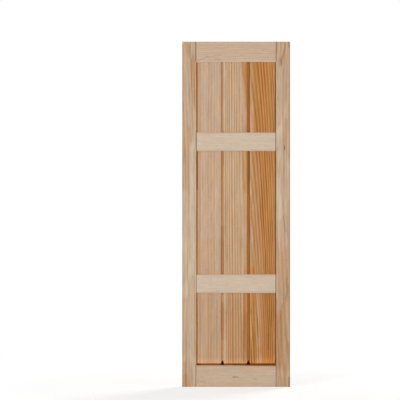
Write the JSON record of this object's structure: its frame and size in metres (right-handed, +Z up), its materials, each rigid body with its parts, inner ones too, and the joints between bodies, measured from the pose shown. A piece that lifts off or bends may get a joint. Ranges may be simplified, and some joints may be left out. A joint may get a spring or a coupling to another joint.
{
  "type": "v-groove window shutter",
  "caption": "Unfinished softwood exterior shutter: stile and rail frame around recessed V-jointed vertical boards, with planted mid rails, fixed flat against a wall.",
  "frame": {"origin": "middle of the bottom rail's flat wall face, 50.8 mm above the shutter's lower edge, in the plane of the wall", "axes": "+Z up along the stiles, +X across the shutter to the right as seen from the front, -Y out of the front face; the wall is at Y = 0"},
  "size_m": [0.381, 0.0286, 1.2192],
  "materials": {
    "stile_fir": "planed and sanded, unfinished",
    "end_rail_fir": "planed and sanded, unfinished",
    "mid_rail_pine": "planed and sanded, unfinished",
    "plain_pine_board": "planed, unfinished",
    "straight_pine_board": "planed, unfinished",
    "orange_pine_board": "planed, unfinished"
  },
  "bodies": {
    "root": {"left_stile": "stile_fir", "right_stile": "stile_fir", "top_rail": "end_rail_fir", "bottom_rail": "end_rail_fir", "upper_mid_rail": "mid_rail_pine", "lower_mid_rail": "mid_rail_pine", "upper_back_rail": "mid_rail_pine", "lower_back_rail": "mid_rail_pine", "left_board": "plain_pine_board", "middle_board": "straight_pine_board", "right_board": "orange_pine_board"}
  },
  "joints": []
}
